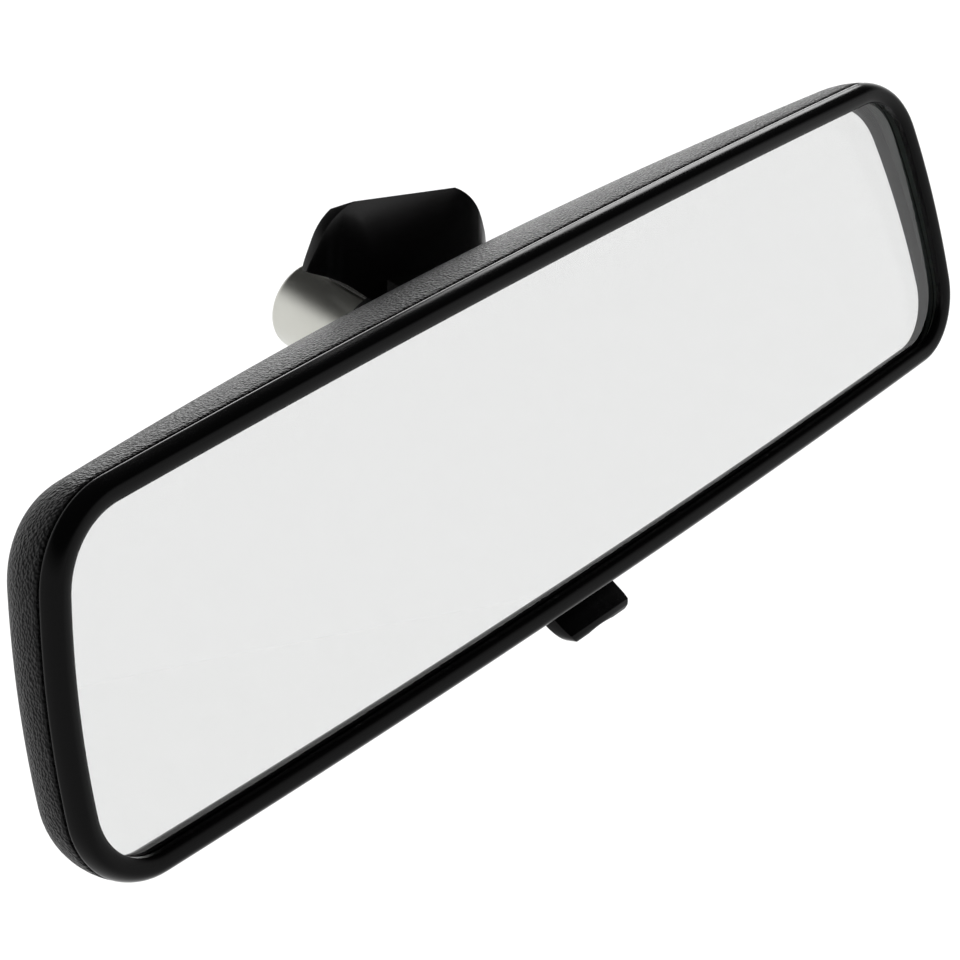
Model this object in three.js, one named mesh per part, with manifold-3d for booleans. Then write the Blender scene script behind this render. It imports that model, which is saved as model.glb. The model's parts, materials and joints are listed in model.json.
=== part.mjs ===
// Interior rearview mirror for a car: a prismatic mirror head with a day/night lever, carried on a
// ball joint by a round metal arm, and a foot that slides onto a button bonded to the windscreen.
//
// Row frame, in millimetres: X to the driver's right, Y forward through the windscreen, Z up.
// The origin is on the foot's sloping face that lies against the windscreen.
// The head has a frame of its own: X along the mirror, Y out of its back, Z up across the glass,
// with its origin in the joint plane between bezel and housing.

import * as THREE from 'three';
import { mergeVertices } from 'three/addons/utils/BufferGeometryUtils.js';
import Module from 'manifold-3d';

const wasm = await Module();
wasm.setup();

// ---------- driving dimensions ----------

const GAP = 0.3; // clearance between pieces that touch

// Head outline: four corner rounds joined by four slightly bowed edges, wider at the bottom.
const TOP_CORNER = { x: 108.1, z: 13.5, r: 18.4 };
const BOTTOM_CORNER = { x: 116.4, z: -17.5, r: 15.1 };
const TOP_BOW_R = 4300;
const BOTTOM_BOW_R = 3900;
const SIDE_BOW_R = 154;
const HALF_WIDTH = 131.5;

const HOUSING_DEPTH = 24; // behind the ball
const HOUSING_END_DEPTH = 12; // the back curves forward to this at both ends
const HOUSING_ROUND = 9; // how far the back's edge draws in
const CAVITY_ROUND = 8;
const BACK_OVAL = 0.3; // the back's flat middle, as a share of the outline
const HOUSING_WALL = 2;
const HOUSING_LIP_WALL = 1.2;
const CROWN = { inset: 2, height: 4 }; // the bezel's bead at its highest
const LIP = { inset: 4.2, height: 3 }; // the bead's inner edge, round the window
const BEZEL_POCKET = 2; // from the outline to the pocket for the glass
const TONGUE = { outer: 1.5, length: 2.5 }; // bezel tongue inside the housing's edge

const GLASS_INSET = 2.3;
const GLASS_FRONT = -1.7;
const GLASS_BOTTOM_THICKNESS = 2.8;
const GLASS_TOP_THICKNESS = 7;
const GLASS_SPAN = 64; // height over which the thickness changes
const FILM_THICKNESS = 0.4;
const PAD = { width: 180, height: 44, thickness: 1.2, hole: 14 }; // its hole clears the socket

const BALL_IN_HEAD = new THREE.Vector3(0, 18.4, 0);
const BALL_R = 6.5;
const LINER = { inner: 6.8, outer: 7.8 };
const RING = { inner: 8.1, outer: 8.9 };
const SEAT_R = 9.2;
const MOUTH_ANGLE = THREE.MathUtils.degToRad(66); // from the arm's axis to a cup's mouth
const SOCKET = { outer: 11.2, front: 8.3, split: 18 };
const SCREW_CIRCLE = 13.6;
const SCREW_ANGLES = [90, 210, 330].map(THREE.MathUtils.degToRad);
const LUG = { r: 3, thickness: 1.6 }; // the retainer's three ears
const HOUSING_HOLE_R = 12.8;

const TILT_PIVOT = { y: 12.4, z: 21 }; // the case turns on this line for day and night
const LEVER_PIVOT = { y: 13.5, z: -26.5 };
const BRACKET = { halfWidth: 36, top: 18, bottom: -20, front: 11.4, thickness: 2.2 };
const FORK = { reaches: [11.6, 16.5], halfThickness: 0.6, halfWidth: 5 };
const PIN_R = 1.3;
const PIN_HOLE_R = 1.6;
const EAR = { inner: 36.6, thickness: 4 };
const PIN_END = EAR.inner + EAR.thickness;

const LEVER_WIDTH = 18.5;
const LEVER_THICKNESS = 2.8;
const LEVER_ROOT = { y: 10.3, z: -32.4 }; // where the paddle leaves the housing
const LEVER_TIP = { y: 0.4, z: -42.3 };
const LEVER_HUB_R = 2.6;

const ARM_PITCH = THREE.MathUtils.degToRad(13.8); // the arm climbs towards the windscreen
const ARM_R = 9.4;
const ARM_BORE_R = 7;
const ARM_START = 16; // distances along the arm are counted from the ball's centre
const ARM_END = 53.7;
const NECK_R = 3.5;
const SHANK_R = 2.9;
const COIL = { turns: 5, r: 4.9, wire: 0.7, start: 24.6, length: 10.4 };
const NUT = { start: 38, height: 4.6, r: 5.4 };

const HEAD_YAW = THREE.MathUtils.degToRad(6.4);
const HEAD_PITCH = THREE.MathUtils.degToRad(-5.5);
const HEAD_ROLL = THREE.MathUtils.degToRad(-10.8);

const SCREEN_SLOPE = THREE.MathUtils.degToRad(25); // windscreen, from level
const FOOT = {
  face: 22.6, // the flat face towards the driver, ahead of the ball
  top: 37.9,
  faceHalfWidth: 12.9,
  halfWidth: 23.6,
  straight: 3.2, // how far back the foot keeps its full width
  depth: 18.5,
  nose: { low: 9, shoulder: 21.5, high: 3.4, top: 27.6 },
};
const ORIGIN_DOWN = 3.75; // from the foot's top edge down its sloping face to the row's origin
const BALL_IN_ROW = new THREE.Vector3(
  0,
  -FOOT.face - ORIGIN_DOWN * Math.cos(SCREEN_SLOPE),
  -FOOT.top + ORIGIN_DOWN * Math.sin(SCREEN_SLOPE),
);
const SLOT = { lip: 5, undercut: 6.5, lipThickness: 1.6, depth: 7, start: 7.5 };
const COLLAR = { start: 24.5, end: 31, outer: 12.2, split: 1.6, ears: 6.4, drop: 18.4 };
const CLAMP_SCREW = { t: 27.7, w: -15.2, thread: 1.5, hole: 1.8 };

// ---------- solids ----------

function solid(geometry) {
  geometry.deleteAttribute('normal');
  geometry.deleteAttribute('uv');
  const merged = mergeVertices(geometry, 1e-4);
  return new wasm.Manifold(new wasm.Mesh({
    numProp: 3,
    vertProperties: new Float32Array(merged.attributes.position.array),
    triVerts: new Uint32Array(merged.index.array),
  }));
}

function geometryOf(body) {
  const mesh = body.getMesh();
  const geometry = new THREE.BufferGeometry();
  geometry.setAttribute('position', new THREE.BufferAttribute(new Float32Array(mesh.vertProperties), 3));
  geometry.setIndex(new THREE.BufferAttribute(new Uint32Array(mesh.triVerts), 1));
  geometry.computeVertexNormals();
  return geometry;
}

// A box given by its low and high corners.
function box(low, high) {
  const size = high.map((value, i) => value - low[i]);
  const geometry = new THREE.BoxGeometry(...size);
  geometry.translate(...low.map((value, i) => value + size[i] / 2));
  return solid(geometry);
}

// A box on one side of X = 0, from near to far of it, between low and high [y, z] corners.
function between(side, near, far, low, high) {
  const [x0, x1] = side > 0 ? [near, far] : [-far, -near];
  return box([x0, ...low], [x1, ...high]);
}

// A cylinder along X, Y or Z between two stations on that axis.
function rod(axis, radius, from, to, at = [0, 0], sides = 20) {
  const geometry = new THREE.CylinderGeometry(radius, radius, to - from, sides);
  const middle = (from + to) / 2;
  if (axis === 'x') geometry.rotateZ(-Math.PI / 2).translate(middle, at[0], at[1]);
  if (axis === 'y') geometry.translate(at[0], middle, at[1]);
  if (axis === 'z') geometry.rotateX(Math.PI / 2).translate(at[0], at[1], middle);
  return solid(geometry);
}

// A body turned about the Y axis from [radius, y] points, taken in the order that faces it out.
function turned(points, sides = 28) {
  const profile = points.map(([r, y]) => new THREE.Vector2(r, y));
  if (THREE.ShapeUtils.area(profile) < 0) profile.reverse();
  return solid(new THREE.LatheGeometry(profile, sides));
}

// An outline in X and Z, given as points, pushed along Y.
function slab(points, from, to) {
  const geometry = new THREE.ExtrudeGeometry(new THREE.Shape(points), {
    depth: to - from, bevelEnabled: false,
  });
  geometry.rotateX(Math.PI / 2).translate(0, to, 0);
  return solid(geometry);
}

// An outline in Y and Z pushed along X, centred on X = 0.
function crossPiece(shape, width) {
  const geometry = new THREE.ExtrudeGeometry(shape, {
    depth: width, bevelEnabled: false, curveSegments: 4,
  });
  geometry.rotateZ(Math.PI / 2).rotateY(Math.PI / 2).translate(-width / 2, 0, 0);
  return solid(geometry);
}

function spherePoints(centreY, radius, fromAngle, toAngle, steps) {
  return Array.from({ length: steps + 1 }, (_, i) => {
    const angle = fromAngle + (toAngle - fromAngle) * i / steps;
    return [radius * Math.sin(angle), centreY + radius * Math.cos(angle)];
  });
}

// ---------- head outline ----------

// Centre of the large arc that touches two corner rounds from outside, seen counterclockwise.
function bowCentre(first, second, bow) {
  const along = new THREE.Vector2(second.x - first.x, second.z - first.z);
  const span = along.length();
  along.normalize();
  const toFirst = bow - first.r;
  const toSecond = bow - second.r;
  const run = (toFirst ** 2 - toSecond ** 2 + span ** 2) / (2 * span);
  const rise = Math.sqrt(toFirst ** 2 - run ** 2);
  return {
    x: first.x + along.x * run - along.y * rise,
    z: first.z + along.y * run + along.x * rise,
    r: bow,
  };
}

function arc(circle, inset, from, to, steps) {
  const sweep = THREE.MathUtils.euclideanModulo(to - from, 2 * Math.PI);
  return Array.from({ length: steps }, (_, i) => {
    const angle = from + sweep * i / steps;
    const r = circle.r - inset;
    return new THREE.Vector2(circle.x + r * Math.cos(angle), circle.z + r * Math.sin(angle));
  });
}

// The head's outline, counterclockwise from the top right corner, drawn in by inset all round.
function headOutline(inset) {
  const left = (corner) => ({ ...corner, x: -corner.x });
  const corners = [TOP_CORNER, left(TOP_CORNER), left(BOTTOM_CORNER), BOTTOM_CORNER];
  const bows = [TOP_BOW_R, SIDE_BOW_R, BOTTOM_BOW_R, SIDE_BOW_R].map((bow, i) => (
    bowCentre(corners[i], corners[(i + 1) % 4], bow)
  ));
  const angle = (bow, corner) => Math.atan2(corner.z - bow.z, corner.x - bow.x);
  return corners.flatMap((corner, i) => {
    const before = bows[(i + 3) % 4];
    const after = bows[i];
    const next = corners[(i + 1) % 4];
    return [
      ...arc(corner, inset, angle(before, corner), angle(after, corner), 6),
      ...arc(after, inset, angle(after, corner), angle(after, next), i % 2 ? 3 : 6),
    ];
  });
}

// A closed body through rings of as many points each, from front to back. It has a flat cap at
// each end, or runs on from the last ring to the first.
function loft(rings, endless = false) {
  const count = rings[0].length;
  const index = [];
  const lastRing = rings.length - 1;
  for (let ring = 0; ring <= (endless ? lastRing : lastRing - 1); ring += 1) {
    const start = ring * count;
    const behind = ((ring + 1) % rings.length) * count;
    for (let i = 0; i < count; i += 1) {
      const next = (i + 1) % count;
      index.push(start + i, behind + i, start + next);
      index.push(start + next, behind + i, behind + next);
    }
  }
  if (!endless) {
    const cap = (ring) => THREE.ShapeUtils.triangulateShape(
      rings[ring].map((point) => new THREE.Vector2(point.x, point.z)), [],
    );
    cap(0).forEach((face) => index.push(...face));
    cap(lastRing).forEach(([a, b, c]) => index.push(...[a, c, b].map((i) => lastRing * count + i)));
  }
  const geometry = new THREE.BufferGeometry();
  const positions = rings.flat().flatMap((point) => point.toArray());
  geometry.setAttribute('position', new THREE.BufferAttribute(new Float32Array(positions), 3));
  geometry.setIndex(index);
  return solid(geometry);
}

function ringAt(inset, y) {
  return headOutline(inset).map((point) => new THREE.Vector3(point.x, y, point.y));
}

// The housing's form: an outline whose edge rounds into a back that is deepest in the middle
// and curves forward towards both ends.
function domedBlock({ inset, round, less, start }) {
  const depthAt = (x) => {
    const fall = (HOUSING_DEPTH - HOUSING_END_DEPTH) * (x / HALF_WIDTH) ** 2;
    return HOUSING_DEPTH - fall - less;
  };
  const rings = [ringAt(inset, start)];
  for (let step = 0; step <= 7; step += 1) {
    const angle = Math.PI / 2 * step / 7;
    const ring = ringAt(inset + round * (1 - Math.cos(angle)), 0);
    ring.forEach((point) => { point.y = depthAt(point.x) * Math.sin(angle); });
    rings.push(ring);
  }
  for (const share of [0.8, 0.6, 0.45, BACK_OVAL]) {
    const ring = ringAt(inset + round, 0);
    ring.forEach((point) => {
      point.multiplyScalar(share);
      point.y = share === BACK_OVAL ? depthAt(0) : depthAt(point.x);
    });
    rings.push(ring);
  }
  return loft(rings);
}

// ---------- case ----------

function rearHousing() {
  const outer = domedBlock({ inset: 0, round: HOUSING_ROUND, less: 0, start: 0 });
  const cavity = domedBlock({
    inset: HOUSING_LIP_WALL, round: CAVITY_ROUND, less: HOUSING_WALL, start: -1,
  });
  const inside = domedBlock({
    inset: HOUSING_LIP_WALL / 2, round: HOUSING_ROUND, less: HOUSING_WALL / 2, start: -1,
  });
  let shell = outer.subtract(cavity);
  for (const side of [-1, 1]) {
    const tiltEar = between(side, EAR.inner, EAR.inner + EAR.thickness, [7.3, 17], [30, 32]);
    const leverEar = between(side, 10.2, 13, [10, -31], [30, -23.2]);
    const padPost = between(side, 68.5, 71.5, [6.6, -12], [30, 12]);
    shell = shell.add(tiltEar.add(leverEar).add(padPost).intersect(inside));
  }
  const pinHoles = rod('x', PIN_HOLE_R, -50, 50, [TILT_PIVOT.y, TILT_PIVOT.z], 16);
  const leverPinHole = rod('x', PIN_HOLE_R, -20, 20, [LEVER_PIVOT.y, LEVER_PIVOT.z], 16);
  const armHole = rod('y', HOUSING_HOLE_R, 14, 30, [0, 0], 32);
  const leverSlot = box([-10.2, 5.8, -40], [10.2, 18, -28]);
  return shell.subtract(pinHoles).subtract(leverPinHole).subtract(armHole).subtract(leverSlot);
}

// A rounded bead with a tongue inside the housing's edge and a lip over the glass.
function bezel() {
  const quarter = Array.from({ length: 5 }, (_, i) => Math.PI / 8 * i);
  const inner = quarter.map((angle) => [
    LIP.inset - (LIP.inset - CROWN.inset) * (1 - Math.cos(angle)),
    -LIP.height - (CROWN.height - LIP.height) * Math.sin(angle),
  ]);
  const outer = quarter.slice(0, -1).reverse().map((angle) => [
    CROWN.inset * (1 - Math.cos(angle)),
    -GAP - (CROWN.height - GAP) * Math.sin(angle),
  ]);
  const profile = [
    ...inner,
    ...outer,
    [TONGUE.outer, -GAP],
    [TONGUE.outer, TONGUE.length],
    [BEZEL_POCKET, TONGUE.length],
    [BEZEL_POCKET, GLASS_FRONT - GAP],
    [LIP.inset, GLASS_FRONT - GAP],
  ];
  return loft(profile.map(([inset, y]) => ringAt(inset, y)), true);
}

// Everything behind a plane that leans as the back of the prism does, this far behind it.
function behindPrism(offset) {
  const lean = Math.atan2(GLASS_TOP_THICKNESS - GLASS_BOTTOM_THICKNESS, GLASS_SPAN);
  const middle = GLASS_FRONT + (GLASS_TOP_THICKNESS + GLASS_BOTTOM_THICKNESS) / 2 + offset;
  const geometry = new THREE.BoxGeometry(300, 40, 120);
  geometry.translate(0, 20, 0).rotateX(-lean).translate(0, middle, 0);
  return solid(geometry);
}

function mirrorGlass() {
  return slab(headOutline(GLASS_INSET), GLASS_FRONT, 10).subtract(behindPrism(0));
}

function backingFilm() {
  const sheet = slab(headOutline(GLASS_INSET + 1), GLASS_FRONT, 14).intersect(behindPrism(GAP));
  return sheet.subtract(behindPrism(GAP + FILM_THICKNESS));
}

function foamPad() {
  const start = GAP * 2 + FILM_THICKNESS;
  const halfWidth = PAD.width / 2;
  const halfHeight = PAD.height / 2;
  return box([-halfWidth, GLASS_FRONT, -halfHeight], [halfWidth, 14, halfHeight])
    .subtract(rod('y', PAD.hole, -10, 20, [0, 0], 32))
    .intersect(behindPrism(start))
    .subtract(behindPrism(start + PAD.thickness));
}

function tiltPin(side) {
  const [from, to] = side > 0 ? [28, PIN_END] : [-PIN_END, -28];
  return rod('x', PIN_R, from, to, [TILT_PIVOT.y, TILT_PIVOT.z], 14);
}

function leverPin() {
  return rod('x', PIN_R, -13, 13, [LEVER_PIVOT.y, LEVER_PIVOT.z], 14);
}

// A bent steel strip that snaps the lever over at each end of its travel.
function detentSpring() {
  const back = HOUSING_DEPTH - HOUSING_WALL - 0.4;
  const end = LEVER_PIVOT.y + 3.2;
  const strip = new THREE.Shape();
  strip.moveTo(back, -13);
  strip.lineTo(back, -20);
  strip.quadraticCurveTo(back - 0.2, -23.4, end, -25.4);
  strip.lineTo(end - 0.3, -24.9);
  strip.quadraticCurveTo(back - 0.7, -23, back - 0.5, -20);
  strip.lineTo(back - 0.5, -13);
  strip.closePath();
  return crossPiece(strip, 7);
}

// ---------- lever ----------

function dayNightLever() {
  const root = LEVER_ROOT;
  const towardsTip = Math.atan2(LEVER_TIP.y - root.y, LEVER_TIP.z - root.z);
  const half = LEVER_THICKNESS / 2;
  const across = { y: Math.cos(towardsTip) * half, z: -Math.sin(towardsTip) * half };
  const tip = LEVER_TIP;
  const arm = new THREE.Shape();
  arm.moveTo(LEVER_PIVOT.y - 1.3, LEVER_PIVOT.z);
  arm.lineTo(root.y + across.y, root.z + across.z);
  arm.lineTo(tip.y + across.y + 0.8, tip.z + across.z + 0.6);
  arm.quadraticCurveTo(tip.y - 0.9, tip.z - 0.7, tip.y - across.y + 0.8, tip.z - across.z + 0.6);
  arm.lineTo(root.y - across.y, root.z - across.z);
  arm.lineTo(LEVER_PIVOT.y + 1.7, LEVER_PIVOT.z);
  arm.closePath();
  const nose = new THREE.Shape();
  nose.moveTo(LEVER_PIVOT.y - 1.6, LEVER_PIVOT.z);
  nose.lineTo(LEVER_PIVOT.y + 0.6, LEVER_PIVOT.z + 5.2);
  nose.lineTo(LEVER_PIVOT.y + 2.2, LEVER_PIVOT.z + 4.6);
  nose.lineTo(LEVER_PIVOT.y + 1.6, LEVER_PIVOT.z);
  nose.closePath();
  const paddle = crossPiece(arm, LEVER_WIDTH).intersect(paddleOutline());
  const hub = rod('x', LEVER_HUB_R, -9.2, 9.2, [LEVER_PIVOT.y, LEVER_PIVOT.z], 20);
  const bore = rod('x', PIN_HOLE_R, -20, 20, [LEVER_PIVOT.y, LEVER_PIVOT.z], 16);
  return paddle.add(hub).add(crossPiece(nose, 6)).subtract(bore);
}

// The paddle seen from the front: rounded lower corners and a slightly hollow lower edge.
function paddleOutline() {
  const half = LEVER_WIDTH / 2;
  const bottom = LEVER_TIP.z - 0.5;
  const outline = new THREE.Shape();
  outline.moveTo(-half, -20);
  outline.lineTo(-half, bottom + 4);
  outline.quadraticCurveTo(-half, bottom, -half + 3.6, bottom);
  outline.quadraticCurveTo(0, bottom + 1.6, half - 3.6, bottom);
  outline.quadraticCurveTo(half, bottom, half, bottom + 4);
  outline.lineTo(half, -20);
  outline.closePath();
  return slab(outline.getPoints(8), -20, 30);
}

// ---------- toggle bracket and ball socket ----------

function toggleBracket() {
  const back = BRACKET.front + BRACKET.thickness;
  const ball = BALL_IN_HEAD;
  let plate = box([-BRACKET.halfWidth, BRACKET.front, 2], [BRACKET.halfWidth, back, BRACKET.top]);
  plate = plate.add(box([-14, BRACKET.front, BRACKET.bottom], [14, back, 4]));
  plate = plate.add(rod('x', 3, -BRACKET.halfWidth, BRACKET.halfWidth, [TILT_PIVOT.y, TILT_PIVOT.z], 16));
  plate = plate.add(box([-BRACKET.halfWidth, BRACKET.front, 16], [BRACKET.halfWidth, back, 20]));
  const { halfThickness: prong, halfWidth: half } = FORK;
  for (const reach of FORK.reaches) {
    const low = [-half, reach - prong, BRACKET.bottom - 2.4];
    plate = plate.add(box(low, [half, reach + prong, BRACKET.bottom + 1]));
  }
  const forkBack = FORK.reaches[1] + prong;
  const floor = BRACKET.bottom - 0.4;
  plate = plate.add(box([-half, BRACKET.front, floor], [half, forkBack, BRACKET.bottom + 1.2]));
  plate = plate.add(rod('y', SOCKET.outer, SOCKET.front, SOCKET.split, [0, 0], 28));
  for (const angle of SCREW_ANGLES) {
    const at = [SCREW_CIRCLE * Math.cos(angle), SCREW_CIRCLE * Math.sin(angle)];
    plate = plate.add(rod('y', LUG.r, BRACKET.front, SOCKET.split, at, 14));
    plate = plate.subtract(rod('y', PIN_HOLE_R, BRACKET.front + 1, 30, at, 12));
  }
  const seat = turned([
    [0, ball.y - SEAT_R],
    ...spherePoints(ball.y, SEAT_R, Math.PI, Math.PI / 2, 8).slice(1),
    [SEAT_R, 34],
    [0, 34],
  ]);
  const pinHoles = rod('x', PIN_HOLE_R, 27.5, 50, [TILT_PIVOT.y, TILT_PIVOT.z], 14)
    .add(rod('x', PIN_HOLE_R, -50, -27.5, [TILT_PIVOT.y, TILT_PIVOT.z], 14));
  return plate.subtract(seat).subtract(pinHoles);
}

function socketRetainer() {
  const start = SOCKET.split + GAP;
  const ball = BALL_IN_HEAD;
  const startAngle = Math.acos((start - ball.y) / SEAT_R);
  const mouth = ball.y + SEAT_R * Math.cos(MOUTH_ANGLE);
  let ring = turned([
    ...spherePoints(ball.y, SEAT_R, startAngle, MOUTH_ANGLE, 5),
    [SEAT_R * Math.sin(MOUTH_ANGLE) + 1.4, mouth],
    [SOCKET.outer, mouth - 1.6],
    [SOCKET.outer, start],
    [SEAT_R * Math.sin(startAngle), start],
  ]);
  for (const angle of SCREW_ANGLES) {
    const at = [SCREW_CIRCLE * Math.cos(angle), SCREW_CIRCLE * Math.sin(angle)];
    const lug = rod('y', LUG.r, start, start + LUG.thickness, at, 14);
    ring = ring.add(lug.subtract(rod('y', SEAT_R + 0.2, 0, 30, [0, 0], 28)));
    ring = ring.subtract(rod('y', PIN_HOLE_R, 0, 30, at, 12));
  }
  return ring;
}

function retainerScrew(angle) {
  const at = [SCREW_CIRCLE * Math.cos(angle), SCREW_CIRCLE * Math.sin(angle)];
  const underHead = SOCKET.split + GAP + LUG.thickness + GAP;
  const shank = rod('y', PIN_R, BRACKET.front + 1.4, underHead + 0.5, at, 12);
  return shank.add(rod('y', 2.4, underHead, underHead + 1.1, at, 14));
}

// A hollow cup around the ball, from its mouth to closeAngle, measured from the arm's axis.
function ballCup({ inner, outer }, closeAngle) {
  const inside = spherePoints(BALL_IN_HEAD.y, inner, MOUTH_ANGLE, closeAngle, 9);
  const outside = spherePoints(BALL_IN_HEAD.y, outer, closeAngle, MOUTH_ANGLE, 9);
  return turned([...inside, ...outside, inside[0]]);
}

function socketLiner() {
  return ballCup(LINER, THREE.MathUtils.degToRad(150));
}

function pressureRing() {
  return ballCup(RING, THREE.MathUtils.degToRad(128));
}

// ---------- arm, with Y along its axis and the ball's centre at 0 ----------

function ballStud() {
  const neckAngle = Math.asin(NECK_R / BALL_R);
  return turned([
    ...spherePoints(0, BALL_R, Math.PI, neckAngle, 14),
    [NECK_R, ARM_START + 3],
    [SHANK_R, ARM_START + 4],
    [SHANK_R, 45],
    [0, 45],
  ]);
}

function armSleeve() {
  return turned([
    [NECK_R + GAP, ARM_START],
    [ARM_R - 2.6, ARM_START],
    [ARM_R, ARM_START + 4],
    ...spherePoints(ARM_END - 1.5, 1.5, Math.PI / 2, 0, 4).map(([r, y]) => [ARM_R - 1.5 + r, y]),
    [ARM_BORE_R, ARM_END],
    [ARM_BORE_R, ARM_START + 6],
    [NECK_R + GAP, ARM_START + 6],
    [NECK_R + GAP, ARM_START],
  ], 40);
}

function armEndCap() {
  const r = ARM_BORE_R - GAP;
  return turned([
    [0, ARM_END - 3],
    [r, ARM_END - 3],
    [r, ARM_END - 1],
    [r - 0.8, ARM_END - 0.3],
    [0, ARM_END - 0.3],
  ]);
}

function sleeve(inner, outer, from, to, sides) {
  return rod('y', outer, from, to, [0, 0], sides).subtract(rod('y', inner, from - 1, to + 1, [0, 0], 20));
}

function studSpring() {
  const coil = new (class extends THREE.Curve {
    getPoint(t) {
      const angle = t * COIL.turns * 2 * Math.PI;
      const along = COIL.start + t * COIL.length;
      return new THREE.Vector3(COIL.r * Math.cos(angle), along, COIL.r * Math.sin(angle));
    }
  })();
  const section = new THREE.Shape();
  section.absarc(0, 0, COIL.wire, 0, 2 * Math.PI);
  const sides = section.getPoints(3).slice(0, 6);
  return solid(new THREE.ExtrudeGeometry(new THREE.Shape(sides), {
    steps: COIL.turns * 14, extrudePath: coil, bevelEnabled: false,
  }));
}

function studNut() {
  const { start, height, r } = NUT;
  const hole = rod('y', SHANK_R + GAP, start - 1, start + height + 1);
  return rod('y', r, start, start + height, [0, 0], 6).subtract(hole);
}

// ---------- foot, with its origin at the ball's centre and level axes ----------

// A block in the windscreen's own axes: x across, u down the slope from the foot's top edge,
// n out of the face.
function onScreen(low, high) {
  const size = high.map((value, i) => value - low[i]);
  const geometry = new THREE.BoxGeometry(...size);
  geometry.translate(...low.map((value, i) => value + size[i] / 2));
  geometry.rotateX(-SCREEN_SLOPE).translate(0, FOOT.face, FOOT.top);
  return solid(geometry);
}

function alongArm(body) {
  return body.rotate([THREE.MathUtils.radToDeg(ARM_PITCH), 0, 0]);
}

// The foot's widest section, seen from the driver's seat: a flat top edge and long shoulders.
function footSection() {
  const { top, faceHalfWidth: face, halfWidth: side } = FOOT;
  const outline = new THREE.Shape();
  outline.moveTo(face, top);
  outline.quadraticCurveTo(face + 6.2, top - 2.2, side - 2.4, top - 8);
  outline.quadraticCurveTo(side, top - 12, side, top - 16);
  outline.lineTo(side, 0);
  outline.lineTo(-side, 0);
  outline.lineTo(-side, top - 16);
  outline.quadraticCurveTo(-side, top - 12, -side + 2.4, top - 8);
  outline.quadraticCurveTo(-face - 6.2, top - 2.2, -face, top);
  outline.closePath();
  return outline.getPoints(8);
}

// The foot's body: it keeps its section for a little way and then closes to a blunt nose.
function footBody() {
  const { face, straight, depth, nose } = FOOT;
  const end = face + depth;
  const tip = [
    [-nose.low, 0], [nose.low, 0], [nose.low, nose.shoulder], [nose.high, nose.top],
    [-nose.high, nose.top], [-nose.low, nose.shoulder],
  ].map(([x, z]) => new THREE.Vector2(x, z));
  const front = slab(footSection(), face - 2, face + straight);
  return wasm.Manifold.hull([front, slab(tip, end - 0.5, end)]);
}

// What the foot leaves free under it, along the arm: it sits on the arm with a narrow rib and
// rises to both sides.
function footUnderside() {
  const outline = new THREE.Shape();
  outline.moveTo(-40, -40);
  outline.lineTo(40, -40);
  outline.lineTo(40, 19.6);
  outline.lineTo(25, 19.2);
  outline.quadraticCurveTo(18, 18.4, 12.9, 15.2);
  outline.lineTo(3.4, 9.6);
  outline.lineTo(3.4, 0);
  outline.lineTo(-3.4, 0);
  outline.lineTo(-3.4, 9.6);
  outline.lineTo(-12.9, 15.2);
  outline.quadraticCurveTo(-18, 18.4, -25, 19.2);
  outline.lineTo(-40, 19.6);
  outline.closePath();
  return alongArm(slab(outline.getPoints(6), 10, 60));
}

// The foot's front seen from above: a flat face whose two sides round back.
function footPlan() {
  const { face, faceHalfWidth: flat, halfWidth: side, straight, depth } = FOOT;
  const outline = new THREE.Shape();
  outline.moveTo(-flat, face);
  outline.lineTo(flat, face);
  outline.quadraticCurveTo(side, face, side + 0.1, face + straight);
  outline.lineTo(side + 0.1, face + depth + 1);
  outline.lineTo(-side - 0.1, face + depth + 1);
  outline.lineTo(-side - 0.1, face + straight);
  outline.quadraticCurveTo(-side, face, -flat, face);
  outline.closePath();
  return solid(new THREE.ExtrudeGeometry(new THREE.Shape(outline.getPoints(8)), {
    depth: 50, bevelEnabled: false,
  }));
}

// A split collar that grips the arm, and the rib that joins it to the foot above.
function armCollar() {
  const { start, end, outer, split, ears, drop } = COLLAR;
  const ring = rod('y', outer, start, end, [0, 0], 36)
    .add(box([-ears, start, -drop], [ears, end, 0]))
    .add(box([-4.6, start - 1, 8], [4.6, end, 16]));
  const bore = rod('y', ARM_R + GAP, 0, 70, [0, 0], 40);
  const cut = box([-split / 2, 0, -40], [split / 2, 70, 0]);
  const screwHole = rod('x', CLAMP_SCREW.hole, -20, 20, [CLAMP_SCREW.t, CLAMP_SCREW.w], 14);
  return alongArm(ring.subtract(bore).subtract(cut).subtract(screwHole));
}

function footShell() {
  const above = onScreen([-60, -30, 0], [60, 80, 60]);
  const mouth = onScreen([-SLOT.lip, SLOT.start, -SLOT.depth], [SLOT.lip, 40, 2]);
  const undercut = onScreen(
    [-SLOT.undercut, SLOT.start, -SLOT.depth],
    [SLOT.undercut, 40, -SLOT.lipThickness],
  );
  const bore = alongArm(rod('y', ARM_R + GAP, 0, 70, [0, 0], 40));
  const below = footUnderside().add(bore);
  const block = footBody().intersect(footPlan()).subtract(above).subtract(below);
  return block.subtract(mouth).subtract(undercut).add(armCollar());
}

// A spring leaf on the slot's floor that catches the button's edge.
function buttonClip() {
  const floor = -SLOT.depth + GAP;
  const leaf = onScreen([-4.5, SLOT.start + 0.4, floor], [4.5, SLOT.start + 8.5, floor + 0.5]);
  const catchEdge = onScreen([-4.5, SLOT.start + 0.4, floor], [4.5, SLOT.start + 1, floor + 2]);
  return leaf.add(catchEdge);
}

function clampScrew() {
  const at = [CLAMP_SCREW.t, CLAMP_SCREW.w];
  const shank = rod('x', CLAMP_SCREW.thread, -COLLAR.ears - 4, COLLAR.ears + 0.5, at, 12);
  return shank.add(rod('x', 2.8, COLLAR.ears + GAP, COLLAR.ears + 2.6, at, 16));
}

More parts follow.
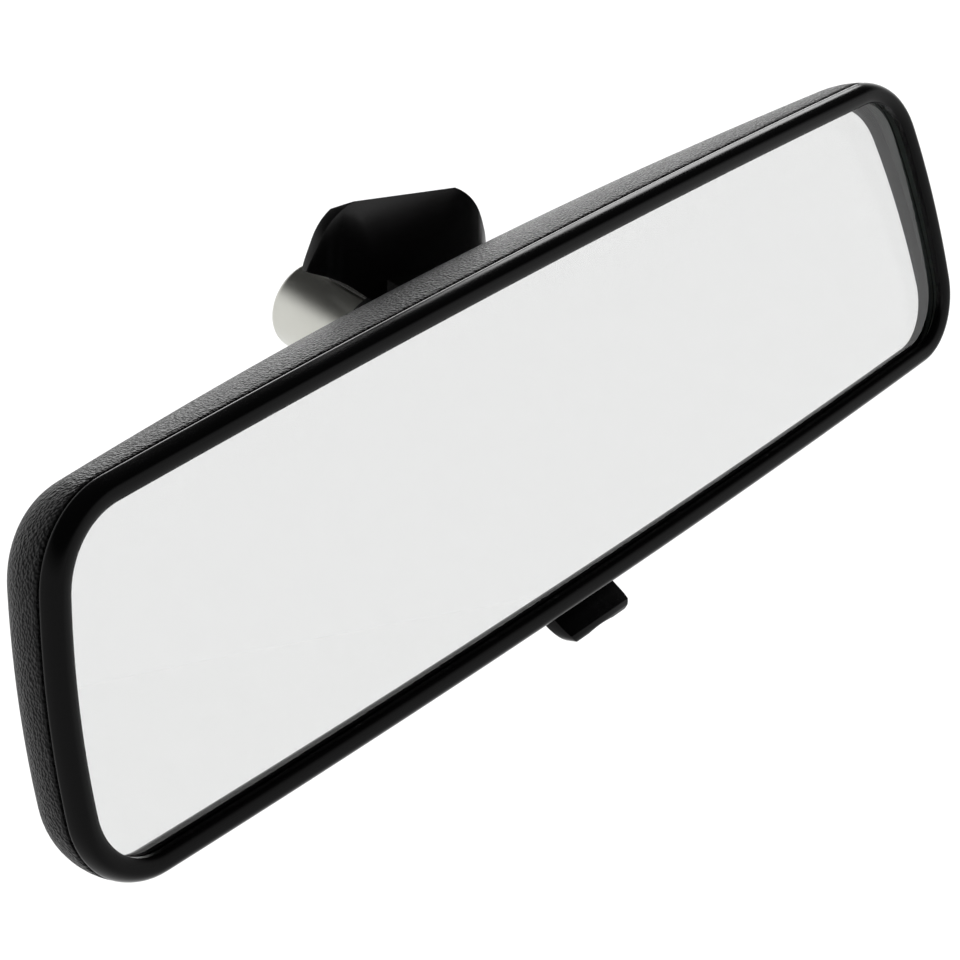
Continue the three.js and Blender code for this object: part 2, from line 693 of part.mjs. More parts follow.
function clampNut() {
  const at = [CLAMP_SCREW.t, CLAMP_SCREW.w];
  const body = rod('x', 3.1, -COLLAR.ears - GAP - 2.4, -COLLAR.ears - GAP, at, 6);
  return body.subtract(rod('x', CLAMP_SCREW.thread + GAP, -20, 20, at, 14));
}

// ---------- materials ----------

function material(color, roughness, metalness) {
  return new THREE.MeshStandardMaterial({ color, roughness, metalness });
}

const GRAINED_PLASTIC = material(0x1b1b1c, 0.7, 0);
const SATIN_PLASTIC = material(0x0d0d0e, 0.35, 0);
const INNER_PLASTIC = material(0x2c2d2f, 0.6, 0);
const NYLON = material(0xd9d6c8, 0.5, 0);
const MIRROR = material(0xdfe3e2, 0.03, 1);
const FILM = material(0x4b4f55, 0.5, 0);
const FOAM = material(0x3a3a3c, 0.95, 0);
const CAST_METAL = material(0xb4b3ad, 0.32, 1);
const STEEL = material(0x9a9da1, 0.3, 1);

// ---------- assembly ----------

function piece(name, body, look) {
  const mesh = new THREE.Mesh(geometryOf(body), look);
  mesh.name = name;
  return mesh;
}

const foot = new THREE.Group();
foot.position.copy(BALL_IN_ROW);
foot.add(piece('foot_shell', footShell(), SATIN_PLASTIC));
foot.add(piece('button_clip', buttonClip(), STEEL));

const arm = new THREE.Group();
arm.position.copy(BALL_IN_ROW);
arm.rotation.x = ARM_PITCH;
arm.add(piece('ball_stud', ballStud(), STEEL));
arm.add(piece('arm_sleeve', armSleeve(), CAST_METAL));
arm.add(piece('arm_end_cap', armEndCap(), CAST_METAL));
arm.add(piece('stud_bush', sleeve(SHANK_R + GAP, ARM_BORE_R - GAP, 22.3, 23.6, 20), NYLON));
arm.add(piece('stud_spring', studSpring(), STEEL));
arm.add(piece('stud_washer', sleeve(SHANK_R + GAP, 6.4, 36.2, 37.4, 20), STEEL));
arm.add(piece('stud_nut', studNut(), STEEL));
arm.add(piece('clamp_screw', clampScrew(), STEEL));
arm.add(piece('clamp_nut', clampNut(), STEEL));

const head = new THREE.Group();
head.rotation.order = 'ZXY';
head.rotation.set(HEAD_PITCH, HEAD_ROLL, HEAD_YAW);
head.position.copy(BALL_IN_ROW).sub(BALL_IN_HEAD.clone().applyEuler(head.rotation));
head.add(piece('rear_housing', rearHousing(), GRAINED_PLASTIC));
head.add(piece('bezel', bezel(), SATIN_PLASTIC));
head.add(piece('mirror_glass', mirrorGlass(), MIRROR));
head.add(piece('backing_film', backingFilm(), FILM));
head.add(piece('foam_pad', foamPad(), FOAM));
head.add(piece('tilt_pin_left', tiltPin(-1), STEEL));
head.add(piece('tilt_pin_right', tiltPin(1), STEEL));
head.add(piece('lever_pin', leverPin(), STEEL));
head.add(piece('detent_spring', detentSpring(), STEEL));
head.add(piece('day_night_lever', dayNightLever(), SATIN_PLASTIC));
head.add(piece('toggle_bracket', toggleBracket(), INNER_PLASTIC));
head.add(piece('socket_retainer', socketRetainer(), INNER_PLASTIC));
head.add(piece('socket_liner', socketLiner(), NYLON));
head.add(piece('pressure_ring', pressureRing(), STEEL));
SCREW_ANGLES.forEach((angle, i) => {
  head.add(piece(`retainer_screw_${i + 1}`, retainerScrew(angle), STEEL));
});

const mirror = new THREE.Group();
mirror.add(foot, arm, head);

export default mirror;
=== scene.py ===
"""Interior rearview mirror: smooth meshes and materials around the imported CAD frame."""

import json
import math

import bmesh
import bpy
from mathutils import Matrix, Vector

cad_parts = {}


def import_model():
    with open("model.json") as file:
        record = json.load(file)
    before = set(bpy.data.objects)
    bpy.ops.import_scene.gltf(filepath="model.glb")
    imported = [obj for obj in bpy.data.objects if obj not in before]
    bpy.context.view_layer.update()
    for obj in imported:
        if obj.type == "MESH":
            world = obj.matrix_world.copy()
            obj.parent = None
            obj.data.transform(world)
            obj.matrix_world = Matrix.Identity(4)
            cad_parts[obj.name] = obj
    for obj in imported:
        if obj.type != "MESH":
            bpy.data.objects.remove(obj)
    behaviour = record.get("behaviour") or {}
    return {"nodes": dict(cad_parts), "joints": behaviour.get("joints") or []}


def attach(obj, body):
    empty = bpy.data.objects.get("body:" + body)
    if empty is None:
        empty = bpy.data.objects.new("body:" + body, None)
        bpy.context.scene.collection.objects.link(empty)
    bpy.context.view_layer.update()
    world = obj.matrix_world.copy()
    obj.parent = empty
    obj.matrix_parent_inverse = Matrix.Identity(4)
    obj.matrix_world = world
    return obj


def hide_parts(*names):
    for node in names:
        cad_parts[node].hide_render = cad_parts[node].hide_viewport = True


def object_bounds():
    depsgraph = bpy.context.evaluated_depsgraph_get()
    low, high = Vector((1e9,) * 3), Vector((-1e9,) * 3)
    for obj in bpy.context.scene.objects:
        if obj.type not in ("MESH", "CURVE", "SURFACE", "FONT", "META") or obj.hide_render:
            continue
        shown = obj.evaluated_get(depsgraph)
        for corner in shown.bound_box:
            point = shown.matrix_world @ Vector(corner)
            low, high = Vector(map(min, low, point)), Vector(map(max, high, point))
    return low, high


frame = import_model()
cad_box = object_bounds()
joints = {joint["name"]: joint for joint in frame["joints"]}

MM = 0.001  # the sizes below are in millimetres, as in the CAD

# ---------- the head's outline, as in the CAD ----------
# An inset is how far something lies inside the outline.

GAP = 0.3  # the clearance between neighbouring parts
TOP_CORNER = (108.1, 13.5, 18.4)  # x, z, radius
BOTTOM_CORNER = (116.4, -17.5, 15.1)
BOWS = (4300.0, 154.0, 3900.0, 154.0)  # radii of the top, left, bottom and right edges
HALF_WIDTH = 131.5
EDGE_CLEARANCE = 0.12  # keeps these smooth arcs inside the CAD's short straight pieces
CORNER_STEPS = 18
BOW_STEPS = (48, 20, 48, 20)

# ---------- the housing ----------

HOUSING_DEPTH = 24.0  # behind the ball
HOUSING_END_DEPTH = 12.0  # the back curves forward to this at both ends
HOUSING_ROUND = 9.0
HOUSING_ROUND_STEPS = 22
CAVITY_ROUND = 8.0
CAVITY_ROUND_STEPS = 12
HOUSING_WALL = 2.0
HOUSING_LIP_WALL = 1.2
HOUSING_EDGE = ((HOUSING_LIP_WALL, 0.1), (0.4, 0.02), (0.12, 0.1), (0.01, 0.4))  # inset, y
BACK_RINGS = 15  # from the rounded rim to the middle of the back
BACK_MIDDLE = 0.5  # half the width of the flat left in the middle, in rings

ARM_HOLE_R = 12.8
ARM_HOLE_CHAMFER = 2.0
ARM_HOLE_RIM = HOUSING_DEPTH - 0.7  # where the chamfer starts
ARM_HOLE_FROM = 14.0  # the cut runs from inside the cavity
ARM_HOLE_TO = 34.0  # to well behind the back
LEVER_SLOT_LOW = (-10.2, 5.8, -40.0)
LEVER_SLOT_HIGH = (10.2, 18.0, -28.0)

# ---------- the bezel and the glass ----------

CROWN_INSET = 2.0  # the bezel's bead at its highest
CROWN_HEIGHT = 4.0
CROWN_STEPS = 20
LIP_INSET = 4.2  # the bead's inner edge, round the window
LIP_HEIGHT = 3.0
LIP_STEPS = 14
BEZEL_SHOULDER = ((0.2, -0.42), (0.6, -GAP))  # inset, y: where the bead turns under to the joint
BEZEL_POCKET = 2.0
TONGUE = 1.5
TONGUE_LENGTH = 2.5
GLASS_INSET = 2.3
GLASS_FRONT = -1.7
GLASS_MIDDLE_THICKNESS = 4.9
GLASS_LEAN = 0.0656  # how much thicker the glass gets per millimetre upwards
SILVER_INSET = GLASS_INSET + 0.3
SILVER_GAP = 0.02
SILVER_THICKNESS = 0.12

# ---------- the arm, measured from the ball ----------

BALL_DEPTH = 18.4  # the ball's centre behind the joint plane of the head
ARM_CLIMB = math.radians(13.8)
ARM_R = 9.4
ARM_BORE_R = 7.0
ARM_START = 16.0
ARM_END = 53.7
ARM_NOSE = ((3.0, 0.0), (2.5, 0.3), (0.3, 3.6), (0.0, 4.6))  # in from the side, back from the start
ARM_NOSE_WALL = 6.0
ARM_END_ROUND = 1.6
ARM_END_STEPS = 8
ARM_BORE_BREAK = 0.2  # the broken edge of the bore
NECK_R = 3.5

# ---------- frames ----------

BALL = Vector(joints["head_yaw"]["pos_m"])


def head_frame():
    """The head's own axes: x along the mirror, y out of its back, z up across the glass."""
    x = Vector(joints["case_tilt"]["axis"]).normalized()
    y = Vector(joints["head_roll"]["axis"]).normalized()
    z = x.cross(y).normalized()
    turn = Matrix((x, y, z)).transposed().to_4x4()
    return Matrix.Translation(BALL - y * BALL_DEPTH * MM) @ turn @ Matrix.Scale(MM, 4)


def arm_frame():
    """Y along the arm, from the ball's centre."""
    return Matrix.Translation(BALL) @ Matrix.Rotation(ARM_CLIMB, 4, "X") @ Matrix.Scale(MM, 4)


HEAD = head_frame()
ARM = arm_frame()

# ---------- mesh helpers ----------

LATHE_STEPS = 96
MERGE_DISTANCE = 1e-7  # metres
CAD_MERGE_DISTANCE = 2e-6
FLAT_ANGLE = 0.5  # degrees: CAD faces this close to one plane become one face
ROUNDED_FROM = 32  # degrees: sharper edges get rounded
ROUNDING_STEPS = 3
ROUNDED_SMOOTH_ANGLE = 40
SMOOTH_ANGLE = 35
GLASS_SMOOTH_ANGLE = 20


def mesh_object(name, verts, faces):
    """A new object with merged points and faces that all look outwards."""
    mesh = bpy.data.meshes.new(name)
    mesh.from_pydata([tuple(v) for v in verts], [], faces)
    work = bmesh.new()
    work.from_mesh(mesh)
    bmesh.ops.remove_doubles(work, verts=work.verts, dist=MERGE_DISTANCE)
    bmesh.ops.recalc_face_normals(work, faces=work.faces)
    work.to_mesh(mesh)
    work.free()
    piece = bpy.data.objects.new(name, mesh)
    bpy.context.scene.collection.objects.link(piece)
    return piece


def loft(name, rings, place, closed=False, caps=False):
    """Rings of equal length joined by quads. closed joins the last ring to the first."""
    count = len(rings[0])
    verts = [place @ Vector(point) for ring in rings for point in ring]
    pairs = list(zip(range(len(rings) - 1), range(1, len(rings))))
    if closed:
        pairs.append((len(rings) - 1, 0))
    faces = []
    for a, b in pairs:
        for i in range(count):
            j = (i + 1) % count
            faces.append((a * count + i, a * count + j, b * count + j, b * count + i))
    if caps:
        faces.append(tuple(range(count)))
        faces.append(tuple(range((len(rings) - 1) * count, len(rings) * count)))
    return mesh_object(name, verts, faces)


def lathe(name, profile, place):
    """A closed profile of (radius, y) points turned about the y axis."""
    rings = []
    for radius, y in profile:
        ring = []
        for i in range(LATHE_STEPS):
            angle = 2 * math.pi * i / LATHE_STEPS
            ring.append((radius * math.cos(angle), y, radius * math.sin(angle)))
        rings.append(ring)
    return loft(name, rings, place, closed=True)


def block(name, low, high, place):
    """A box between two corners, for cutting from another piece."""
    (x0, y0, z0), (x1, y1, z1) = low, high
    ring = [(x0, z0), (x1, z0), (x1, z1), (x0, z1)]
    return loft(name, [[(x, y, z) for x, z in ring] for y in (y0, y1)], place, caps=True)


def apply_modifiers(piece):
    """The piece's modifiers become its mesh."""
    graph = bpy.context.evaluated_depsgraph_get()
    mesh = bpy.data.meshes.new_from_object(piece.evaluated_get(graph))
    piece.modifiers.clear()
    piece.data = mesh


def cut(target, tool):
    """Takes the tool's shape out of the target, and removes the tool."""
    modifier = target.modifiers.new("cut", "BOOLEAN")
    modifier.object = tool
    modifier.operation = "DIFFERENCE"
    modifier.solver = "EXACT"
    apply_modifiers(target)
    bpy.data.objects.remove(tool)


def smooth(piece, angle=SMOOTH_ANGLE):
    """Smooth shading that keeps edges sharper than the angle."""
    work = bmesh.new()
    work.from_mesh(piece.data)
    limit = math.radians(angle)
    for face in work.faces:
        face.smooth = True
    for edge in work.edges:
        edge.smooth = len(edge.link_faces) == 2 and edge.calc_face_angle(0) < limit
    work.to_mesh(piece.data)
    work.free()
    return piece


def finish_piece(piece, body, node, material):
    """Gives a new piece its material and body, and hides the CAD node it stands for, if any."""
    piece.data.materials.clear()
    piece.data.materials.append(material)
    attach(piece, body)
    if node:
        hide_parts(node)


def softened(node, name, width, body, material):
    """A copy of a CAD node with every sharp edge rounded by width."""
    mesh = frame["nodes"][node].data.copy()
    work = bmesh.new()
    work.from_mesh(mesh)
    bmesh.ops.remove_doubles(work, verts=work.verts, dist=CAD_MERGE_DISTANCE)
    bmesh.ops.dissolve_limit(
        work, angle_limit=math.radians(FLAT_ANGLE), verts=work.verts, edges=work.edges)
    work.to_mesh(mesh)
    work.free()
    piece = bpy.data.objects.new(name, mesh)
    bpy.context.scene.collection.objects.link(piece)
    bevel = piece.modifiers.new("rounding", "BEVEL")
    bevel.width = width * MM
    bevel.segments = ROUNDING_STEPS
    bevel.limit_method = "ANGLE"
    bevel.angle_limit = math.radians(ROUNDED_FROM)
    apply_modifiers(piece)
    smooth(piece, ROUNDED_SMOOTH_ANGLE)
    finish_piece(piece, body, node, material)


# ---------- head outline ----------


def bow_centre(first, second, radius):
    """Centre of the large arc that touches two corner rounds from outside."""
    along = Vector((second[0] - first[0], second[1] - first[1]))
    span = along.length
    along.normalize()
    to_first = radius - first[2]
    to_second = radius - second[2]
    run = (to_first ** 2 - to_second ** 2 + span ** 2) / (2 * span)
    rise = math.sqrt(to_first ** 2 - run ** 2)
    return (
        first[0] + along.x * run - along.y * rise,
        first[1] + along.y * run + along.x * rise,
        radius,
    )


def mirrored(corner):
    """The same corner at the other end of the head."""
    return (-corner[0], corner[1], corner[2])


CORNERS = (TOP_CORNER, mirrored(TOP_CORNER), mirrored(BOTTOM_CORNER), BOTTOM_CORNER)
BOW_CENTRES = [bow_centre(CORNERS[i], CORNERS[(i + 1) % 4], BOWS[i]) for i in range(4)]


def arc_points(circle, inset, start, end, steps):
    """Points of a circle from one angle up to, but not at, the next."""
    sweep = (end - start) % (2 * math.pi)
    radius = circle[2] - inset - EDGE_CLEARANCE
    points = []
    for i in range(steps):
        angle = start + sweep * i / steps
        points.append((circle[0] + radius * math.cos(angle), circle[1] + radius * math.sin(angle)))
    return points


def head_outline(inset):
    """(x, z) points of the head's outline drawn in by inset, the same number for any inset."""
    points = []
    for i, corner in enumerate(CORNERS):
        before = BOW_CENTRES[i - 1]
        after = BOW_CENTRES[i]
        following = CORNERS[(i + 1) % 4]
        start = math.atan2(corner[1] - before[1], corner[0] - before[0])
        end = math.atan2(corner[1] - after[1], corner[0] - after[0])
        far = math.atan2(following[1] - after[1], following[0] - after[0])
        points += arc_points(corner, inset, start, end, CORNER_STEPS)
        points += arc_points(after, inset, end, far, BOW_STEPS[i])
    return points


def ring_at(inset, y):
    """The head's outline drawn in by inset, at one depth."""
    return [(x, y, z) for x, z in head_outline(inset)]


def quarter(steps):
    """Angles from 0 to 90 degrees."""
    return [math.pi / 2 * i / steps for i in range(steps + 1)]


# ---------- procedural materials ----------
# Scales are in cells per metre, bump distances in metres.

MIX_COLOURS = (6, 7)  # the colour sockets of a Mix node
MIX_RESULT = 2
NOISE_RANGE = (0.3, 0.7)  # where noise mostly lies
EDGE_RANGE = (0.52, 0.6)  # pointiness from flat to a sharp outer edge


class Nodes:
    """A material's node tree with its principled shader, and short ways to add to it."""

    def __init__(self, name, colour, roughness, metallic=0.0, specular=0.5):
        self.material = bpy.data.materials.new(name)
        self.material.use_nodes = True
        self.tree = self.material.node_tree
        self.shader = self.tree.nodes["Principled BSDF"]
        self.shader.inputs["Base Color"].default_value = (*colour, 1.0)
        self.shader.inputs["Roughness"].default_value = roughness
        self.shader.inputs["Metallic"].default_value = metallic
        self.shader.inputs["Specular IOR Level"].default_value = specular
        self.place = self.tree.nodes.new("ShaderNodeTexCoord").outputs["Object"]

    def add(self, kind, **values):
        """A new node, with its settings or its sockets' values."""
        node = self.tree.nodes.new(kind)
        for key, value in values.items():
            if hasattr(node, key):
                setattr(node, key, value)
            else:
                node.inputs[key].default_value = value
        return node

    def link(self, out, into):
        self.tree.links.new(out, into)

    def noise(self, scale, detail=3.0):
        """Cloudy noise, from 0 to 1."""
        node = self.add("ShaderNodeTexNoise", Scale=scale, Detail=detail)
        self.link(self.place, node.inputs["Vector"])
        return node.outputs["Fac"]

    def cells(self, scale):
        """Rounded pebbles."""
        node = self.add("ShaderNodeTexVoronoi", feature="SMOOTH_F1", Scale=scale, Smoothness=0.6)
        self.link(self.place, node.inputs["Vector"])
        return node.outputs["Distance"]

    def spread(self, value, low, high):
        """Maps noise to the range from low to high."""
        node = self.add("ShaderNodeMapRange")
        node.inputs["From Min"].default_value = NOISE_RANGE[0]
        node.inputs["From Max"].default_value = NOISE_RANGE[1]
        node.inputs["To Min"].default_value = low
        node.inputs["To Max"].default_value = high
        self.link(value, node.inputs["Value"])
        return node.outputs["Result"]

    def mix(self, value, first, second):
        """A colour that goes from first to second as value goes from 0 to 1."""
        node = self.add("ShaderNodeMix", data_type="RGBA")
        for socket, colour in zip(MIX_COLOURS, (first, second)):
            node.inputs[socket].default_value = (*colour, 1.0)
        self.link(value, node.inputs[0])
        return node.outputs[MIX_RESULT]

    def bump(self, height, distance, strength=1.0, under=None):
        """Relief from a height, on top of the relief under it, if any."""
        node = self.add("ShaderNodeBump")
        node.inputs["Distance"].default_value = distance
        node.inputs["Strength"].default_value = strength
        self.link(height, node.inputs["Height"])
        if under:
            self.link(under, node.inputs["Normal"])
        return node.outputs["Normal"]

    def worn(self):
        """1 on sharp outer edges and 0 elsewhere, broken up by noise."""
        edge = self.add("ShaderNodeNewGeometry").outputs["Pointiness"]
        ramp = self.add("ShaderNodeMapRange")
        ramp.inputs["From Min"].default_value = EDGE_RANGE[0]
        ramp.inputs["From Max"].default_value = EDGE_RANGE[1]
        self.link(edge, ramp.inputs["Value"])
        product = self.add("ShaderNodeMath", operation="MULTIPLY")
        self.link(ramp.outputs["Result"], product.inputs[0])
        self.link(self.spread(self.noise(600.0), 0.2, 1.0), product.inputs[1])
        return product.outputs["Value"]

    def set(self, socket, out):
        """Feeds one of the shader's sockets."""
        self.link(out, self.shader.inputs[socket])


def grained_plastic():
    """Black moulded shell with a fine pebbled grain and slightly polished high spots."""
    m = Nodes("grained_plastic", (0.006, 0.006, 0.0062), 0.42, specular=0.08)
    pebbles = m.cells(1700.0)
    fine = m.noise(3200.0, 2.0)
    m.set("Base Color", m.mix(m.noise(60.0, 5.0), (0.005, 0.005, 0.0052), (0.008, 0.008, 0.0082)))
    m.set("Roughness", m.spread(fine, 0.34, 0.5))
    grain = m.bump(pebbles, 0.00045)
    m.set("Normal", m.bump(fine, 0.0001, 0.6, under=grain))
    return m.material


def satin_plastic():
    """Smooth black plastic of the bezel and the lever, faintly mottled from handling."""
    m = Nodes("satin_plastic", (0.0015, 0.0015, 0.0016), 0.17, specular=0.08)
    m.set("Base Color", m.mix(m.worn(), (0.0014, 0.0014, 0.0015), (0.005, 0.005, 0.0053)))
    m.set("Roughness", m.spread(m.noise(45.0, 6.0), 0.14, 0.2))
    m.set("Normal", m.bump(m.noise(2400.0, 2.0), 0.00002, 0.35))
    return m.material


def gloss_plastic():
    """The foot's polished black."""
    m = Nodes("gloss_plastic", (0.0015, 0.0015, 0.0016), 0.24, specular=0.3)
    m.set("Base Color", m.mix(m.worn(), (0.0015, 0.0015, 0.0016), (0.006, 0.006, 0.0065)))
    m.set("Roughness", m.spread(m.noise(70.0, 5.0), 0.16, 0.26))
    m.set("Normal", m.bump(m.noise(900.0, 2.0), 0.00002, 0.25))
    return m.material


def inner_plastic():
    """Dark glass-filled plastic inside the head."""
    m = Nodes("inner_plastic", (0.045, 0.045, 0.047), 0.6)
    m.set("Base Color", m.mix(m.noise(500.0, 4.0), (0.035, 0.035, 0.037), (0.06, 0.06, 0.062)))
    m.set("Roughness", m.spread(m.noise(120.0, 4.0), 0.5, 0.7))
    m.set("Normal", m.bump(m.noise(1800.0, 3.0), 0.00004, 0.5))
    return m.material


def nylon():
    """Natural nylon, slightly translucent."""
    m = Nodes("nylon", (0.72, 0.69, 0.61), 0.42)
    m.set("Base Color", m.mix(m.noise(180.0, 3.0), (0.68, 0.65, 0.56), (0.76, 0.73, 0.66)))
    m.set("Roughness", m.spread(m.noise(240.0, 3.0), 0.36, 0.5))
    m.shader.inputs["Subsurface Weight"].default_value = 0.1
    return m.material


def satin_metal():
    """The arm: blasted and lightly polished cast metal."""
    m = Nodes("satin_metal", (0.6, 0.59, 0.55), 0.3, metallic=1.0)
    fine = m.noise(900.0, 3.0)
    m.set("Base Color", m.mix(m.noise(120.0, 4.0), (0.5, 0.5, 0.46), (0.56, 0.56, 0.52)))
    m.set("Roughness", m.spread(fine, 0.3, 0.36))
    m.set("Normal", m.bump(fine, 0.00001, 0.3))
    return m.material


def steel():
    """Zinc-plated fasteners, springs and the ball stud."""
    m = Nodes("steel", (0.5, 0.5, 0.49), 0.3, metallic=1.0)
    m.set("Base Color", m.mix(m.noise(300.0, 4.0), (0.44, 0.44, 0.43), (0.58, 0.58, 0.57)))
    m.set("Roughness", m.spread(m.noise(700.0, 4.0), 0.24, 0.4))
    return m.material


def silvering():
    """The mirror coat on the back of the glass."""
    m = Nodes("silvering", (0.705, 0.705, 0.705), 0.015, metallic=1.0)
    m.set("Roughness", m.spread(m.noise(25.0, 2.0), 0.008, 0.02))
    return m.material


def clear_glass():
    """Clear glass, very faintly green."""
    m = Nodes("clear_glass", (0.995, 0.998, 0.996), 0.0)
    m.shader.inputs["Transmission Weight"].default_value = 1.0
    m.shader.inputs["IOR"].default_value = 1.52
    m.set("Roughness", m.spread(m.noise(20.0, 2.0), 0.0, 0.006))
    return m.material


def painted_shade_glass_rim():
    """The glass's ground edge, dark green-grey as seen through the glass: the green tint is the
    glass's own, the darkness is painted shade for the dark bezel round the rim.
    """
    m = Nodes("painted_shade_glass_rim", (0.05, 0.06, 0.055), 0.7, specular=0.1)
    m.set("Base Color", m.mix(m.noise(700.0, 3.0), (0.04, 0.05, 0.045), (0.06, 0.07, 0.065)))
    return m.material


def film():
    """The grey safety film behind the glass."""
    m = Nodes("film", (0.16, 0.17, 0.19), 0.5)
    m.set("Base Color", m.mix(m.noise(80.0, 3.0), (0.14, 0.15, 0.17), (0.19, 0.2, 0.22)))
    return m.material


def foam():
    """Dark closed-cell foam."""
    m = Nodes("foam", (0.05, 0.05, 0.052), 0.95, specular=0.2)
    m.set("Base Color", m.mix(m.noise(900.0, 3.0), (0.03, 0.03, 0.032), (0.08, 0.08, 0.083)))
    m.set("Normal", m.bump(m.cells(1800.0), 0.0002, 0.8))
    return m.material


GRAINED = grained_plastic()
SATIN = satin_plastic()
GLOSS = gloss_plastic()
INNER = inner_plastic()
NYLON = nylon()
METAL = satin_metal()
STEEL = steel()
SILVER = silvering()
GLASS = clear_glass()
PAINTED_SHADE_GLASS_RIM = painted_shade_glass_rim()
FILM = film()
FOAM = foam()

# ---------- the case ----------


def depth_at(x):
    """How far the housing's back lies behind the joint plane."""
    return HOUSING_DEPTH - (HOUSING_DEPTH - HOUSING_END_DEPTH) * (x / HALF_WIDTH) ** 2


def dome_rings(inset, roundness, less, steps):
    """From the open edge over the rounded rim to the middle of the back."""
    rings = []
    for angle in quarter(steps):
        outline = head_outline(inset + roundness * (1 - math.cos(angle)))
        rings.append([(x, (depth_at(x) - less) * math.sin(angle), z) for x, z in outline])
    back = head_outline(inset + roundness)
    for k in range(1, BACK_RINGS + 1):
        share = 1 - k / (BACK_RINGS + BACK_MIDDLE)
        rings.append([(x * share, depth_at(x * share) - less, z * share) for x, z in back])
    return rings


def housing_shell():
    """The closed shell: its cavity, its narrow front edge and its outside, in that order."""
    cavity = dome_rings(HOUSING_LIP_WALL, CAVITY_ROUND, HOUSING_WALL, CAVITY_ROUND_STEPS)
    edge = [ring_at(inset, y) for inset, y in HOUSING_EDGE]
    outside = dome_rings(0.0, HOUSING_ROUND, 0.0, HOUSING_ROUND_STEPS)
    rings = cavity[:0:-1] + edge + outside[1:]
    return loft("housing_shell", rings, HEAD, caps=True)


def arm_hole():
    """A cutter for the chamfered hole that the arm comes out of."""
    wide = ARM_HOLE_R + ARM_HOLE_CHAMFER
    profile = [(0, ARM_HOLE_FROM), (ARM_HOLE_R, ARM_HOLE_FROM), (ARM_HOLE_R, ARM_HOLE_RIM)]
    profile += [(wide, ARM_HOLE_RIM + ARM_HOLE_CHAMFER), (wide, ARM_HOLE_TO), (0, ARM_HOLE_TO)]
    return lathe("cutter", profile, HEAD)


def rear_housing():
    """The grained shell with the arm's hole and the lever's slot."""
    shell = housing_shell()
    cut(shell, arm_hole())
    cut(shell, block("cutter", LEVER_SLOT_LOW, LEVER_SLOT_HIGH, HEAD))
    finish_piece(smooth(shell), "case", "rear_housing", GRAINED)


def bezel():
    """A rounded bead with a tongue inside the housing's edge and a lip over the glass."""
    profile = []
    for angle in quarter(LIP_STEPS):
        inset = LIP_INSET - (LIP_INSET - CROWN_INSET) * (1 - math.cos(angle))
        profile.append((inset, -LIP_HEIGHT - (CROWN_HEIGHT - LIP_HEIGHT) * math.sin(angle)))
    # The crown's top is there already, and the shoulder stands for the last two steps.
    for angle in reversed(quarter(CROWN_STEPS)[2:-1]):
        inset = CROWN_INSET * (1 - math.cos(angle))
        profile.append((inset, -GAP - (CROWN_HEIGHT - GAP) * math.sin(angle)))
    profile += [*BEZEL_SHOULDER, (TONGUE, -GAP)]
    profile += [(TONGUE, TONGUE_LENGTH), (BEZEL_POCKET, TONGUE_LENGTH)]
    profile += [(BEZEL_POCKET, GLASS_FRONT - GAP), (LIP_INSET, GLASS_FRONT - GAP)]
    rings = [ring_at(inset, y) for inset, y in profile]
    piece = loft("bezel_frame", rings, HEAD, closed=True)
    finish_piece(smooth(piece), "case", "bezel", SATIN)


def glass_back(z):
    """The depth of the glass's leaning back at a height."""
    return GLASS_FRONT + GLASS_MIDDLE_THICKNESS + GLASS_LEAN * z


def mirror_glass():
    """The clear wedge: its front is level, its back leans and its narrow rim is ground."""
    outline = head_outline(GLASS_INSET)
    rings = [ring_at(GLASS_INSET, GLASS_FRONT), [(x, glass_back(z), z) for x, z in outline]]
    piece = loft("mirror_glass_wedge", rings, HEAD, caps=True)
    finish_piece(smooth(piece, GLASS_SMOOTH_ANGLE), "case", "mirror_glass", GLASS)
    # The rim gets a dark material: painted shade in place of the bright reflections it would show.
    piece.data.materials.append(PAINTED_SHADE_GLASS_RIM)
    # Only the front and the back are more than half as large as the largest face.
    largest = max(face.area for face in piece.data.polygons)
    for face in piece.data.polygons:
        face.material_index = 0 if face.area > 0.5 * largest else 1


def silver_coat():
    """A thin reflecting sheet on the back of the glass."""
    outline = head_outline(SILVER_INSET)
    rings = []
    for offset in (SILVER_GAP, SILVER_GAP + SILVER_THICKNESS):
        rings.append([(x, glass_back(z) + offset, z) for x, z in outline])
    piece = loft("mirror_silvering", rings, HEAD, caps=True)
    finish_piece(smooth(piece, GLASS_SMOOTH_ANGLE), "case", None, SILVER)


# ---------- the arm ----------


def round_corner(radius, y, size):
    """(radius, y) points of a rounded outer end edge whose sharp corner would be at radius, y."""
    points = []
    for angle in quarter(ARM_END_STEPS):
        points.append((radius - size + size * math.cos(angle), y - size + size * math.sin(angle)))
    return points


def arm_sleeve():
    """The hollow arm, with a nose that narrows towards the ball."""
    profile = [(NECK_R + GAP, ARM_START)]
    profile += [(ARM_R - inward, ARM_START + back) for inward, back in ARM_NOSE]
    profile += round_corner(ARM_R, ARM_END, ARM_END_ROUND)
    profile += [(ARM_BORE_R + ARM_BORE_BREAK, ARM_END), (ARM_BORE_R, ARM_END - ARM_BORE_BREAK)]
    bottom = ARM_START + ARM_NOSE_WALL
    profile += [(ARM_BORE_R, bottom), (NECK_R + GAP, bottom)]
    piece = lathe("arm_sleeve_turned", profile, ARM)
    finish_piece(smooth(piece), "foot", "arm_sleeve", METAL)


rear_housing()
bezel()
mirror_glass()
silver_coat()
arm_sleeve()

# ---------- CAD nodes that get rounded edges ----------

softened("foot_shell", "foot_shell_moulded", 1.5, "foot", GLOSS)
softened("day_night_lever", "lever_moulded", 1.1, "lever", SATIN)
softened("arm_end_cap", "end_cap_turned", 0.2, "foot", METAL)
softened("clamp_screw", "clamp_screw_turned", 0.25, "foot", STEEL)
softened("clamp_nut", "clamp_nut_turned", 0.2, "foot", STEEL)
softened("socket_retainer", "socket_retainer_moulded", 0.15, "bracket", INNER)

# ---------- CAD nodes that keep their shape ----------

